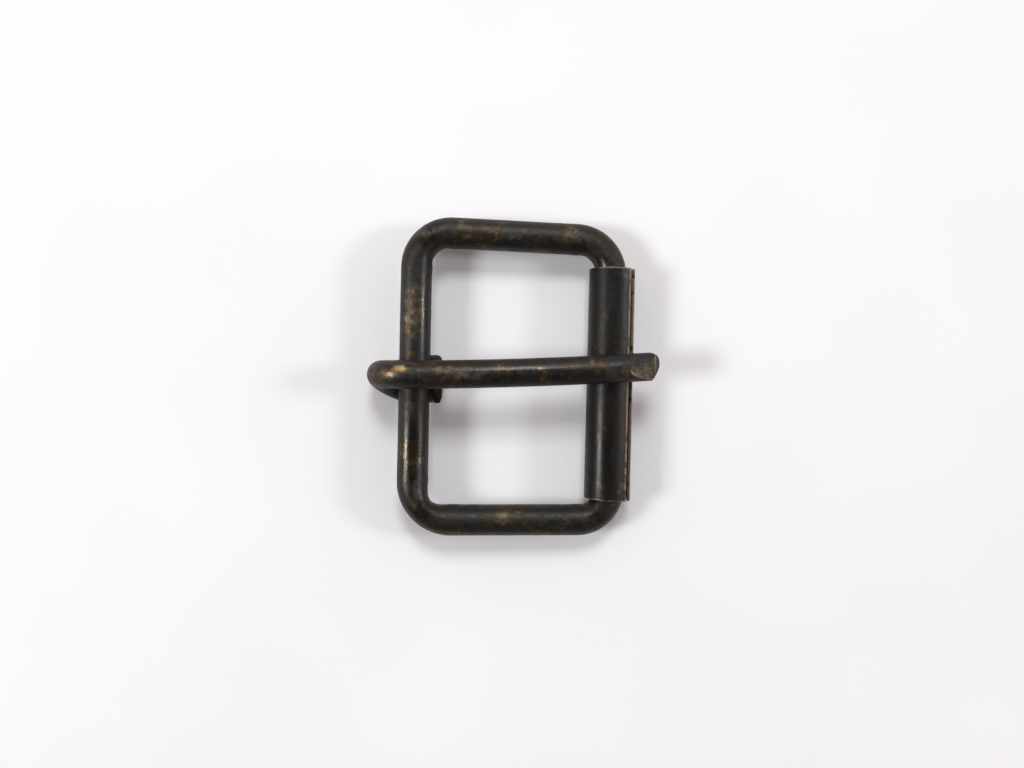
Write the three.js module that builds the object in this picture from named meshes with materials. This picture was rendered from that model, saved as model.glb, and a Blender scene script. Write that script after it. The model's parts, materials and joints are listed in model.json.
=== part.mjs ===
// A roller buckle for a 25 mm strap, in three pieces: a wire frame bent to a rounded rectangle, a sleeve of
// rolled sheet that turns on one of the frame's bars, and a prong that swings on the other, the heel bar.
//
// Millimetres. The bars run along Y and the prong points along +X. The buckle lies on the plane z = 0, on its
// sleeve and on the underside of the prong's eye. The origin is below the middle of its bounding box.
import * as THREE from "three";

// Frame: one length of round wire whose two ends meet inside the sleeve.
const STRAP_WIDTH = 25.4; // clear width along the heel bar
const WIRE_DIAMETER = 3.1;
const BAR_SPACING = 19.6; // heel bar to roller bar, axis to axis
const SIDE_TAPER = 0.35; // by which each side bar draws in from the heel bar to the roller bar
const BEND_RADII = [3.4, 3.5, 3.85, 3.0]; // of the wire's axis, in turn from the roller bar's +Y end
const BUTT_GAP = 0.2;
const EYE_SPAN = 3.5; // the heel bar is left to the prong's eye this far either side of the middle

// Sleeve: sheet rolled into a tube that doesn't quite close.
const SLEEVE_DIAMETER = 4.64;
const SLEEVE_WALL = 0.38;
const SLEEVE_LENGTH = 23.05;
const SLEEVE_SHIFT = -0.3; // along its bar, away from the middle
const SEAM_GAP = 0.3;
const SEAM_ANGLE = THREE.MathUtils.degToRad(27); // above the horizontal, on the outer side

// Prong: round wire, flattened towards the tail that is curled round the heel bar.
const PRONG_DIAMETER = 2.75;
const PRONG_REACH = 23.9; // heel bar's axis to the tip
const EYE_CLEARANCE = 0.4; // eye to heel bar, all round
const PRONG_LIFT = 0.1; // shank to sleeve, at rest
const TAIL_WIDTH = 4.85;
const TAIL_THICKNESS = 1.0;
const TAIL_OFFSET = -0.35; // the flattened tail's middle, from the middle of the round wire
const TAIL_END = THREE.MathUtils.degToRad(365); // angles round the eye, whose top is at 90
const FLARE_START = THREE.MathUtils.degToRad(285); // where the tail has its full width
const FLARE_END = THREE.MathUtils.degToRad(170); // where the wire is round again
const EYE_TOP = THREE.MathUtils.degToRad(90); // where the shank leaves
const EYE_FLAT = 3.05; // heel bar's axis to the flat under the eye
const PRONG_SIDE = 0.15; // along the heel bar, away from the middle
const SHANK_SKEW = 0.025; // sideways slope of the shank where it leaves the eye
const SHANK_BOW_RADIUS = 400;
const TIP_FACET_LENGTH = 3.0; // slanting flat on top of the tip
const TIP_FACET_DROP = 1.1;
const TIP_NOSE_LENGTH = 1.2; // stretch over which the tip is rounded off, seen from above
const TIP_NOSE_WIDTH = 0.45; // share of the width left at the very end

// Fineness of the faceted surfaces.
const WIRE_SIDES = 24;
const BEND_STEPS = 8;
const SLEEVE_ARC_DIVISIONS = 24;
const EYE_STEPS = 22;
const SHANK_STEPS = 4;
const TIP_STEPS = 6;

// Worked out from the sizes above.
const wireRadius = WIRE_DIAMETER / 2;
const sleeveRadius = SLEEVE_DIAMETER / 2;
const eyeRadius = wireRadius + EYE_CLEARANCE;
const heelHalfLength = (STRAP_WIDTH + WIRE_DIAMETER) / 2;
const lean = Math.asin((EYE_FLAT - sleeveRadius) / BAR_SPACING); // the frame's plane falls towards the sleeve
const prongRise = Math.asin((sleeveRadius + PRONG_LIFT - eyeRadius) / BAR_SPACING); // from that plane
const prongDip = lean - prongRise; // from the horizontal

const { euclideanModulo, lerp, smoothstep } = THREE.MathUtils;

/** A wire formed from a straight bar: place(station, across, up) puts a point of the unit round section. */
function formedWire(stations, place) {
  const corners = Array.from({ length: WIRE_SIDES }, (_, side) => {
    const angle = ((side + 0.5) * 2 * Math.PI) / WIRE_SIDES;
    return new THREE.Vector2(Math.cos(angle), Math.sin(angle));
  });
  const steps = stations.length - 1;
  const section = new THREE.Shape(corners);
  const bar = new THREE.ExtrudeGeometry(section, { depth: steps, steps, bevelEnabled: false });
  const positions = bar.getAttribute("position");
  for (let i = 0; i < positions.count; i++) {
    const station = stations[Math.round(positions.getZ(i))];
    const point = place(station, positions.getX(i), positions.getY(i));
    positions.setXYZ(i, point.x, point.y, point.z);
  }
  bar.computeVertexNormals();
  return bar;
}

/** A vector of the given length and heading, an angle from +X. */
function towards(heading, distance) {
  return new THREE.Vector2(distance * Math.cos(heading), distance * Math.sin(heading));
}

/** Where the frame wire passes, from one butt end round to the other: points, each with its heading. */
function frameStations() {
  const rollerHalfLength = heelHalfLength - SIDE_TAPER;
  const start = new THREE.Vector2(BAR_SPACING, BUTT_GAP / 2);
  const end = new THREE.Vector2(BAR_SPACING, -BUTT_GAP / 2);
  const corners = [
    new THREE.Vector2(BAR_SPACING, rollerHalfLength),
    new THREE.Vector2(0, heelHalfLength),
    new THREE.Vector2(0, -heelHalfLength),
    new THREE.Vector2(BAR_SPACING, -rollerHalfLength),
  ];
  const stops = [start, ...corners, end];
  const headings = stops.slice(1).map((stop, i) => stop.clone().sub(stops[i]).angle());
  const stations = [{ point: start, heading: headings[0] }];
  corners.forEach((corner, i) => {
    const radius = BEND_RADII[i];
    const turn = euclideanModulo(headings[i + 1] - headings[i], 2 * Math.PI);
    const bendStart = corner.clone().sub(towards(headings[i], radius * Math.tan(turn / 2)));
    const centre = bendStart.clone().add(towards(headings[i] + Math.PI / 2, radius));
    for (let step = 0; step <= BEND_STEPS; step++) {
      const heading = headings[i] + (turn * step) / BEND_STEPS;
      stations.push({ point: centre.clone().sub(towards(heading + Math.PI / 2, radius)), heading });
    }
    if (i === 1) {
      for (const y of [EYE_SPAN, -EYE_SPAN]) {
        stations.push({ point: new THREE.Vector2(0, y), heading: headings[2] });
      }
    }
  });
  stations.push({ point: end, heading: headings[headings.length - 1] });
  return stations;
}

/** The bent wire, in the plane of its axis, with the heel bar on the Y axis. */
function wireFrame() {
  return formedWire(frameStations(), ({ point, heading }, across, up) => {
    const offset = across * wireRadius;
    return new THREE.Vector3(
      point.x - Math.sin(heading) * offset,
      point.y + Math.cos(heading) * offset,
      up * wireRadius,
    );
  });
}

/** The rolled sleeve, on the Y axis, with its seam at SEAM_ANGLE from +X. */
function sleeve() {
  const inner = sleeveRadius - SLEEVE_WALL;
  const halfGap = SEAM_GAP / 2 / sleeveRadius;
  const section = new THREE.Shape();
  section.absarc(0, 0, sleeveRadius, SEAM_ANGLE + halfGap, SEAM_ANGLE - halfGap + 2 * Math.PI, false);
  section.absarc(0, 0, inner, SEAM_ANGLE - halfGap + 2 * Math.PI, SEAM_ANGLE + halfGap, true);
  const tube = new THREE.ExtrudeGeometry(section, {
    depth: SLEEVE_LENGTH,
    bevelEnabled: false,
    curveSegments: SLEEVE_ARC_DIVISIONS,
  });
  tube.translate(0, 0, -SLEEVE_LENGTH / 2);
  return tube.rotateX(Math.PI / 2);
}

/** The prong's stations: angles round the eye from the tail to its top, then lengths along the shank. */
function prongStations() {
  const shankEnd = PRONG_REACH - TIP_FACET_LENGTH;
  const stations = [];
  for (let step = 0; step <= EYE_STEPS; step++) {
    stations.push({ angle: lerp(TAIL_END, EYE_TOP, step / EYE_STEPS), along: 0 });
  }
  for (let step = 1; step <= SHANK_STEPS; step++) {
    stations.push({ angle: EYE_TOP, along: (shankEnd * step) / SHANK_STEPS });
  }
  for (let step = 1; step <= TIP_STEPS; step++) {
    // closer together towards the end, where the nose is rounded
    const share = Math.sin(((step / TIP_STEPS) * Math.PI) / 2);
    stations.push({ angle: EYE_TOP, along: shankEnd + TIP_FACET_LENGTH * share });
  }
  return stations;
}

/** A unit section's coordinate pressed from round (flatness 0) towards square (flatness 1). */
function pressed(coordinate, flatness) {
  return Math.sign(coordinate) * Math.abs(coordinate) ** lerp(1, 0.55, flatness);
}

/** The prong, with the heel bar's axis on the Y axis and the shank along +X. */
function prong() {
  const skewAt = (along) => SHANK_SKEW * along + along ** 2 / (2 * SHANK_BOW_RADIUS);
  return formedWire(prongStations(), ({ angle, along }, across, up) => {
    const flatness = smoothstep(angle, FLARE_END, FLARE_START);
    const intoNose = Math.max(0, (along - PRONG_REACH + TIP_NOSE_LENGTH) / TIP_NOSE_LENGTH);
    const nose = 1 - (1 - TIP_NOSE_WIDTH) * (1 - Math.sqrt(1 - intoNose ** 2));
    const width = lerp(PRONG_DIAMETER, TAIL_WIDTH, flatness) * nose;
    const thickness = lerp(PRONG_DIAMETER, TAIL_THICKNESS, flatness);
    const axisY = PRONG_SIDE + TAIL_OFFSET * flatness + skewAt(along);
    const y = axisY + (pressed(across, flatness) * width) / 2;
    const radial = eyeRadius + ((1 + pressed(up, flatness)) * thickness) / 2;
    const intoFacet = Math.max(0, (along - PRONG_REACH + TIP_FACET_LENGTH) / TIP_FACET_LENGTH);
    const facet = eyeRadius + PRONG_DIAMETER - TIP_FACET_DROP * intoFacet;
    const reach = Math.min(radial, along > 0 ? facet : radial);
    const x = along + reach * Math.cos(angle);
    const ground = (x * Math.sin(prongDip) - EYE_FLAT) / Math.cos(prongDip);
    return new THREE.Vector3(x, y, Math.max(reach * Math.sin(angle), ground));
  });
}

/** Steel with a dark antique brass plating. */
function antiqueBrass(color, roughness) {
  return new THREE.MeshStandardMaterial({ color, roughness, metalness: 0.9 });
}

function named(name, geometry, material) {
  const mesh = new THREE.Mesh(geometry, material);
  mesh.name = name;
  return mesh;
}

const frameMesh = named("wire_frame", wireFrame(), antiqueBrass(0x3a332b, 0.38));
const sleeveMesh = named("roller_sleeve", sleeve(), antiqueBrass(0x2c2d30, 0.32));
const prongMesh = named("prong", prong(), antiqueBrass(0x443827, 0.4));

sleeveMesh.position.set(BAR_SPACING, SLEEVE_SHIFT, 0);
prongMesh.rotation.y = -prongRise;

const buckle = new THREE.Group();
buckle.position.z = EYE_FLAT;
buckle.rotation.y = lean;
buckle.add(frameMesh, sleeveMesh, prongMesh);

// The origin goes below the middle of the buckle's box.
const middle = new THREE.Box3().setFromObject(buckle, true).getCenter(new THREE.Vector3());
buckle.position.x -= middle.x;
buckle.position.y -= middle.y;

const part = new THREE.Group();
part.add(buckle);

export default part;
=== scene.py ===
"""A roller buckle in antique brass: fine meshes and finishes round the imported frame.

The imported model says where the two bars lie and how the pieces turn. Each of the three pieces, the bent wire, the
rolled sleeve and the prong, is made again here as a finer mesh and dressed with its own finish.
"""

import json
import logging
import math
from dataclasses import dataclass
from enum import Enum

import bmesh
import bpy
import numpy as np
from mathutils import Matrix, Vector


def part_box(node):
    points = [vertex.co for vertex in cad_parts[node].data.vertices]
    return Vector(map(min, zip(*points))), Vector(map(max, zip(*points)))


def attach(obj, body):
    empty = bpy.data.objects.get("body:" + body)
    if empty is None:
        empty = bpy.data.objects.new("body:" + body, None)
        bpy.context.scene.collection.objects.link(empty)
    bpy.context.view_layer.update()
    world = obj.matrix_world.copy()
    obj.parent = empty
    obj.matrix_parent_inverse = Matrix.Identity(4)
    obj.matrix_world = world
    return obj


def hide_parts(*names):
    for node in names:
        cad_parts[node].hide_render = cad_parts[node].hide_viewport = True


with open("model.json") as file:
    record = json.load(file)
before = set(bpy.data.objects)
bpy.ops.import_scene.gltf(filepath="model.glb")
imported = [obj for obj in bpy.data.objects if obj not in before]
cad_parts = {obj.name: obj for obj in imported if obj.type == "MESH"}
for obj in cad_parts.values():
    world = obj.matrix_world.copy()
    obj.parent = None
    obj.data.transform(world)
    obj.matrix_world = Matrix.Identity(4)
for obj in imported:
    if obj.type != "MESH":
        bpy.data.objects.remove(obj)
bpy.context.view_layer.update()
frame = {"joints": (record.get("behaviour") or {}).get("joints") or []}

MM = 0.001
WELD = 0.001 * MM  # points closer than this are one
MARKED_FROM = 0.1  # how far up a face looks before use marks it at all
LOG = logging.getLogger("roller_buckle")

Colour = tuple[float, float, float]
Socket = bpy.types.NodeSocket


class Attribute(str, Enum):
    """Per-vertex values: the first four are for the finishes, the others for the geometry trees."""

    RUB = "rub"
    DRAWN = "drawn"
    EDGE = "edge"
    POLISH = "polish"
    INWARD = "inward"
    SWELL = "swell"
    TRAVELLED = "travelled"


class Body(str, Enum):
    """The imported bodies."""

    FRAME = "frame"
    ROLLER = "roller"
    PRONG = "prong"


# ---------------------------------------------------------------------------------------------- node trees


class Nodes:
    """Adds nodes to one tree and joins them."""

    def __init__(self, tree: bpy.types.NodeTree) -> None:
        """Starts on a tree.

        Args:
            tree: the tree that the nodes go into.
        """
        self.tree = tree

    def add(self, kind: str, settings: dict | None = None, inputs: dict | None = None) -> bpy.types.Node:
        """Adds one node.

        Args:
            kind: Blender's name for the node type.
            settings: the node's own properties.
            inputs: values or output sockets, by the input's name or number.

        Returns:
            The new node.
        """
        node = self.tree.nodes.new(kind)
        for name, value in (settings or {}).items():
            setattr(node, name, value)
        for key, value in (inputs or {}).items():
            if isinstance(value, Socket):
                self.tree.links.new(value, node.inputs[key])
            else:
                node.inputs[key].default_value = value
        return node

    def math(self, operation: str, *values: object) -> Socket:
        """A sum on numbers or sockets.

        Args:
            operation: Blender's name for the operation.
            values: what it works on, in order.

        Returns:
            The result's socket.
        """
        return self.add("ShaderNodeMath", {"operation": operation}, dict(enumerate(values))).outputs[0]

    def vector_math(self, operation: str, inputs: dict) -> bpy.types.Node:
        """A vector sum.

        Args:
            operation: Blender's name for the operation.
            inputs: its inputs, by number or name.

        Returns:
            The node, whose output depends on the operation.
        """
        return self.add("ShaderNodeVectorMath", {"operation": operation}, inputs)

    def vector(self, *parts: object) -> Socket:
        """A vector of three numbers or sockets."""
        return self.add("ShaderNodeCombineXYZ", inputs=dict(enumerate(parts))).outputs[0]

    def centred(self, value: Socket, amount: object) -> Socket:
        """A value between 0 and 1, moved to lie about 0 and then multiplied."""
        return self.math("MULTIPLY", self.math("SUBTRACT", value, 0.5), amount)

    def weighted(self, *terms: tuple[Socket, float]) -> Socket:
        """A sum of sockets, each times its share.

        Args:
            terms: each socket with its share.

        Returns:
            The sum's socket.
        """
        total, *others = [self.math("MULTIPLY", value, share) for value, share in terms]
        for other in others:
            total = self.math("ADD", total, other)
        return total

    def noise(self, vector: Socket, size: float, seed: float, detail: float = 4.0, rough: float = 0.6) -> Socket:
        """Fractal noise from 0 to 1.

        Args:
            vector: the coordinates' socket.
            size: how wide its largest features are, in the coordinates' unit.
            seed: which noise it is.
            detail: how many finer octaves it has.
            rough: how strong the finer octaves are.

        Returns:
            The noise's socket.
        """
        inputs = {"Vector": vector, "W": seed, "Scale": 1.0 / size, "Detail": detail, "Roughness": rough}
        return self.add("ShaderNodeTexNoise", {"noise_dimensions": "4D"}, inputs).outputs[0]

    def ease(self, value: Socket, low: float, high: float, to_low: float = 0.0, to_high: float = 1.0) -> Socket:
        """A smooth step from one value to another.

        Args:
            value: the socket to read.
            low: where the step starts.
            high: where it ends.
            to_low: the result up to the start.
            to_high: the result past the end.

        Returns:
            The result's socket.
        """
        inputs = {"Value": value, 1: low, 2: high, 3: to_low, 4: to_high}
        node = self.add("ShaderNodeMapRange", {"interpolation_type": "SMOOTHSTEP", "clamp": True}, inputs)
        return node.outputs[0]

    def blend(self, share: Socket, first: Socket | Colour, second: Socket | Colour) -> Socket:
        """A mix of two colours.

        Args:
            share: how much of the second colour shows.
            first: a colour or its socket.
            second: a colour or its socket.

        Returns:
            The mixed colour's socket.
        """
        inputs = {0: share}
        for key, colour in ((6, first), (7, second)):
            inputs[key] = colour if isinstance(colour, Socket) else (*colour, 1.0)
        return self.add("ShaderNodeMix", {"data_type": "RGBA"}, inputs).outputs[2]

    def bump(self, height: Socket, depth: float, strength: float = 1.0, below: Socket | None = None) -> Socket:
        """Relief that is only in the shading.

        Args:
            height: its height, from 0 to 1.
            depth: the size of a height of 1, in millimetres.
            strength: how strongly it shows.
            below: the normals of the relief that it lies on.

        Returns:
            The normals' socket.
        """
        inputs = {"Height": height, "Distance": depth * MM, "Strength": strength}
        if below is not None:
            inputs["Normal"] = below
        return self.add("ShaderNodeBump", inputs=inputs).outputs[0]

    def capture(self, geometry: Socket, value: Socket, kind: str) -> tuple[Socket, Socket]:
        """Keeps a value that the geometry has now for use further on.

        Args:
            geometry: the geometry's socket.
            value: the value's socket.
            kind: "FLOAT" or "VECTOR".

        Returns:
            The geometry's and the value's new sockets.
        """
        node = self.tree.nodes.new("GeometryNodeCaptureAttribute")
        node.capture_items.new(kind, "Value")
        for name, socket in (("Geometry", geometry), ("Value", value)):
            self.tree.links.new(socket, node.inputs[name])
        return node.outputs["Geometry"], node.outputs["Value"]

    def named(self, attribute: Attribute, kind: str = "FLOAT") -> Socket:
        """An attribute's value, where kind is "FLOAT" or "FLOAT_VECTOR"."""
        return self.add("GeometryNodeInputNamedAttribute", {"data_type": kind}, {"Name": attribute.value}).outputs[0]

    def store(self, geometry: Socket, attribute: Attribute, value: Socket, kind: str = "FLOAT") -> Socket:
        """Stores a value on each point.

        Args:
            geometry: the geometry's socket.
            attribute: which attribute.
            value: the value's socket.
            kind: "FLOAT" or "FLOAT_VECTOR".

        Returns:
            The geometry's new socket.
        """
        settings = {"data_type": kind, "domain": "POINT"}
        inputs = {"Geometry": geometry, "Name": attribute.value, "Value": value}
        return self.add("GeometryNodeStoreNamedAttribute", settings, inputs).outputs[0]


# ------------------------------------------------------------------------------------------------- finishes


def start_material(name: str) -> tuple[bpy.types.Material, Nodes, Socket]:
    """Starts a finish.

    Args:
        name: the material's name.

    Returns:
        The material, the nodes of its empty tree, and the socket of its coordinates in millimetres.
    """
    material = bpy.data.materials.new(name)
    material.use_nodes = True
    material.node_tree.nodes.clear()
    nodes = Nodes(material.node_tree)
    place = nodes.add("ShaderNodeTexCoord").outputs["Object"]
    place = nodes.add("ShaderNodeMapping", inputs={"Vector": place, "Scale": [1 / MM] * 3}).outputs[0]
    return material, nodes, place


@dataclass(frozen=True)
class AntiqueBrass:
    """Dark plating on steel: mottled, polished by handling in places, and rubbed through to brass in others.

    Colours are linear and sizes in millimetres. The tone's shares are of blotches, mottling, specks and drawn lines,
    and the patchiness is how far mottling and lines break up a rub mark. A step holds where a layer starts to show
    and where it has come in: the warm and olive ones are tones past the dark share, the copper one is of the specks,
    and the haze and brass ones are rubs past `rub_from`. The edge's own step comes in as chips: a step of the
    mottling, and what is left of the edge's tint below it. The edge tint is metal worn bare at edges, and on the
    sleeve's near lip and ends it also paints a highlight.
    """

    name: str
    seed: float
    dark: Colour = (0.0045, 0.0043, 0.0040)
    warm: Colour = (0.040, 0.030, 0.021)
    olive: Colour = (0.115, 0.088, 0.056)
    brass: Colour = (0.46, 0.33, 0.15)
    copper: Colour = (0.10, 0.045, 0.032)
    edge_tint: Colour = (0.24, 0.19, 0.12)
    blotch_size: float = 2.6
    mottle_size: float = 0.7
    copper_share: float = 0.45
    drawn_length: float = 9.0
    dark_share: float = 0.52
    rub_from: float = 0.42
    dull: tuple[float, float] = (0.40, 0.60)
    polished: float = 0.23
    metal: tuple[float, float] = (0.30, 0.85)
    pit_depth: float = 0.020
    line_depth: float = 0.009
    line_width: float = 0.16
    pit_size: float = 1.0 / 2.4
    speck_ratio: float = 0.45
    pit_share: float = 0.2
    tone_shares: tuple[float, float, float, float] = (0.42, 0.36, 0.14, 0.08)
    warm_step: tuple[float, float] = (-0.05, 0.03)
    olive_step: tuple[float, float] = (0.02, 0.11)
    copper_step: tuple[float, float] = (0.60, 0.70)
    patchiness: tuple[float, float] = (1.6, 0.5)
    haze_step: tuple[float, float] = (-0.3, 0.25)
    haze_share: float = 0.8
    brass_step: tuple[float, float] = (0.0, 0.65)
    chipping: tuple[float, float, float] = (0.36, 0.56, 0.25)
    edge_step: tuple[float, float] = (0.1, 0.8)
    edge_share: float = 0.9
    polish_streaks: float = 0.9
    polish_step: tuple[float, float] = (0.1, 0.9)
    dull_step: tuple[float, float] = (0.38, 0.62)

    def material(self) -> bpy.types.Material:
        """Builds the finish.

        Returns:
            The material.
        """
        material, nodes, place = start_material(self.name)
        drawn = nodes.add("ShaderNodeAttribute", {"attribute_name": Attribute.DRAWN.value}).outputs["Vector"]
        squeeze = [1 / self.drawn_length / MM, 1 / MM, 1 / MM]
        drawn = nodes.add("ShaderNodeMapping", inputs={"Vector": drawn, "Scale": squeeze}).outputs[0]
        rub, edge, polish = (
            nodes.add("ShaderNodeAttribute", {"attribute_name": attribute.value}).outputs["Fac"]
            for attribute in (Attribute.RUB, Attribute.EDGE, Attribute.POLISH)
        )

        blotches = nodes.noise(place, self.blotch_size, self.seed, 3.0, 0.55)
        mottle = nodes.noise(place, self.mottle_size, self.seed + 3.0, 6.0, 0.68)
        specks = nodes.noise(place, self.mottle_size * self.speck_ratio, self.seed + 7.0, 3.0, 0.6)
        lines = nodes.noise(drawn, self.line_width, self.seed + 11.0, 4.0, 0.6)

        tone = nodes.weighted(*zip((blotches, mottle, specks, lines), self.tone_shares))
        warmth = nodes.ease(tone, *(self.dark_share + past for past in self.warm_step))
        oliveness = nodes.ease(tone, *(self.dark_share + past for past in self.olive_step))
        colour = nodes.blend(oliveness, nodes.blend(warmth, self.dark, self.warm), self.olive)
        colour = nodes.blend(nodes.ease(specks, *self.copper_step, 0.0, self.copper_share), colour, self.copper)

        patchy = nodes.math("ADD", rub, nodes.centred(mottle, self.patchiness[0]))
        patchy = nodes.math("ADD", patchy, nodes.centred(lines, self.patchiness[1]))
        haze = nodes.ease(patchy, *(self.rub_from + past for past in self.haze_step), 0.0, self.haze_share)
        colour = nodes.blend(haze, colour, self.olive)
        worn = nodes.ease(patchy, *(self.rub_from + past for past in self.brass_step))
        colour = nodes.blend(worn, colour, self.brass)
        # Edge tint: worn metal, and on the sleeve's near lip and ends also a painted highlight.
        edge = nodes.math("MULTIPLY", edge, nodes.ease(mottle, *self.chipping, 1.0))
        colour = nodes.blend(nodes.ease(edge, *self.edge_step, 0.0, self.edge_share), colour, self.edge_tint)

        pit_inputs = {"Vector": place, "Scale": 1.0 / self.pit_size}
        pits = nodes.add("ShaderNodeTexVoronoi", {"feature": "DISTANCE_TO_EDGE"}, pit_inputs)
        pitted = nodes.ease(pits.outputs["Distance"], 0.0, 0.2)
        grain = nodes.weighted((mottle, 1.0 - self.pit_share), (pitted, self.pit_share))
        surface = nodes.bump(grain, self.pit_depth)
        surface = nodes.bump(lines, self.line_depth, below=surface)

        bare = nodes.math("MAXIMUM", nodes.math("MAXIMUM", warmth, haze), nodes.math("MAXIMUM", worn, edge))
        streaked = nodes.math("ADD", polish, nodes.centred(lines, self.polish_streaks))
        sheen = nodes.ease(streaked, *self.polish_step)
        dullness = nodes.math("MULTIPLY", nodes.math("ADD", mottle, specks), 0.5)
        roughness = nodes.ease(dullness, *self.dull_step, *self.dull)
        gain = nodes.math("MULTIPLY", nodes.math("SUBTRACT", roughness, self.polished), sheen)
        shader = nodes.add(
            "ShaderNodeBsdfPrincipled",
            inputs={
                "Base Color": colour,
                "Metallic": nodes.ease(bare, 0.0, 1.0, *self.metal),
                "Roughness": nodes.math("SUBTRACT", roughness, gain),
                "Normal": surface,
            },
        )
        nodes.add("ShaderNodeOutputMaterial", inputs={"Surface": shader.outputs[0]})
        return material


@dataclass(frozen=True)
class Paper:
    """The pale sheet that the buckle lies on, in faint clouds. Sizes in millimetres."""

    name: str = "paper"
    tint: Colour = (0.86, 0.845, 0.855)
    fibre_size: float = 0.6
    fibre_depth: float = 0.02
    cloud_size: float = 40.0
    cloud_shade: float = 0.97
    roughness: float = 0.85

    def material(self) -> bpy.types.Material:
        """Builds the finish.

        Returns:
            The material.
        """
        material, nodes, place = start_material(self.name)
        cloud = nodes.noise(place, self.cloud_size, 2.0, 2.0)
        fibres = nodes.noise(place, self.fibre_size, 5.0, 5.0, 0.7)
        shaded = tuple(channel * self.cloud_shade for channel in self.tint)
        colour = nodes.blend(nodes.ease(cloud, 0.35, 0.65), shaded, self.tint)
        surface = nodes.bump(fibres, self.fibre_depth, 0.6)
        shader_inputs = {"Base Color": colour, "Roughness": self.roughness, "Normal": surface}
        shader = nodes.add("ShaderNodeBsdfPrincipled", inputs=shader_inputs)
        nodes.add("ShaderNodeOutputMaterial", inputs={"Surface": shader.outputs[0]})
        return material


# ------------------------------------------------------------------------------------------- where it all is


@dataclass(frozen=True)
class Layout:
    """The plane of the bent wire: its origin on the heel bar, +X to the roller bar, +Y along both bars."""

    heel: Vector
    roller: Vector

    @classmethod
    def from_joints(cls, joints: list[dict]) -> "Layout":
        """Reads the two bars' places.

        Args:
            joints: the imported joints.

        Returns:
            The layout.
        """
        places = {joint["child"]: Vector(joint["pos_m"]) for joint in joints}
        return cls(heel=places[Body.PRONG.value], roller=places[Body.ROLLER.value])

    @property
    def spacing(self) -> float:
        """The distance between the bars' axes."""
        return (self.roller - self.heel).length

    @property
    def placed(self) -> Matrix:
        """The way from this plane to the model's own frame.

        Returns:
            The matrix, for places in metres.
        """
        along = (self.roller - self.heel).normalized()
        across = Vector((0.0, 1.0, 0.0))
        turn = Matrix((along, across, along.cross(across))).transposed().to_4x4()
        return Matrix.Translation(self.heel) @ turn


@dataclass(frozen=True)
class WearMark:
    """A patch that use has rubbed or polished: a soft ellipse in the plane of the bent wire, in millimetres."""

    x: float
    y: float
    half_length: float
    half_width: float
    strength: float

    def amount(self, points: np.ndarray) -> np.ndarray:
        """How strongly each point is marked.

        Args:
            points: places in millimetres, one row each.

        Returns:
            A number for each point, 0 well away from the patch.
        """
        away = ((points[:, 0] - self.x) / self.half_length) ** 2 + ((points[:, 1] - self.y) / self.half_width) ** 2
        return self.strength * np.exp(-away)


def eased(values: np.ndarray, low: float, high: float) -> np.ndarray:
    """A smooth step from 0 to 1.

    Args:
        values: where to read it.
        low: where the step starts.
        high: where it ends.

    Returns:
        The step's height at each value.
    """
    share = np.clip((values - low) / (high - low), 0.0, 1.0)
    return share**2 * (3 - 2 * share)


def set_attribute(mesh: bpy.types.Mesh, attribute: Attribute, values: np.ndarray) -> None:
    """Stores one value for each vertex.

    Args:
        mesh: the mesh.
        attribute: which attribute.
        values: one number, or one row of three, for each vertex.
    """
    kind = "FLOAT" if values.ndim == 1 else "FLOAT_VECTOR"
    key = "value" if values.ndim == 1 else "vector"
    layer = mesh.attributes.get(attribute.value) or mesh.attributes.new(attribute.value, kind, "POINT")
    layer.data.foreach_set(key, np.ascontiguousarray(values, dtype=np.float32).ravel())


def vertex_array(mesh: bpy.types.Mesh, key: str = "co") -> np.ndarray:
    """The vertices' places or normals.

    Args:
        mesh: the mesh.
        key: "co" or "normal".

    Returns:
        One row of three for each vertex.
    """
    values = np.empty(len(mesh.vertices) * 3, dtype=np.float32)
    mesh.vertices.foreach_get(key, values)
    return values.reshape(-1, 3)


def mark(mesh: bpy.types.Mesh, rubs: tuple[WearMark, ...], polishes: tuple[WearMark, ...]) -> None:
    """Stores how strongly each vertex is rubbed and polished, on the faces that look up.

    Args:
        mesh: a mesh in the plane of the bent wire, in metres.
        rubs: the patches rubbed towards brass.
        polishes: the patches polished by handling.
    """
    points = vertex_array(mesh) / MM
    up = np.clip((vertex_array(mesh, "normal")[:, 2] - MARKED_FROM) / (1.0 - MARKED_FROM), 0.0, 1.0)
    for attribute, patches in ((Attribute.RUB, rubs), (Attribute.POLISH, polishes)):
        total = sum((patch.amount(points) for patch in patches), np.zeros(len(points)))
        set_attribute(mesh, attribute, total * np.sqrt(up))


def chain(name: str, points: np.ndarray) -> bpy.types.Mesh:
    """Joins points in a row by edges.

    Args:
        name: the mesh's name.
        points: places in millimetres, one row each.

    Returns:
        The mesh.
    """
    mesh = bpy.data.meshes.new(name)
    mesh.from_pydata((points * MM).tolist(), [(i, i + 1) for i in range(len(points) - 1)], [])
    return mesh


def add_object(name: str, data: bpy.types.ID) -> bpy.types.Object:
    """Puts an object in the scene.

    Args:
        name: the object's name.
        data: its mesh, light or camera.

    Returns:
        The object.
    """
    item = bpy.data.objects.new(name, data)
    bpy.context.scene.collection.objects.link(item)
    return item


def finish_piece(name: str, mesh: bpy.types.Mesh, body: Body, node: str) -> bpy.types.Object:
    """Puts a mesh in the scene in place of its CAD node.

    Args:
        name: the piece's name.
        mesh: its mesh, in the model's own frame.
        body: the body it rides on.
        node: the CAD node it stands for.

    Returns:
        The piece.
    """
    piece = add_object(name, mesh)
    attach(piece, body.value)
    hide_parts(node)
    LOG.info("%s: %d faces, rides on %s", name, len(mesh.polygons), body.value)
    return piece


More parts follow.
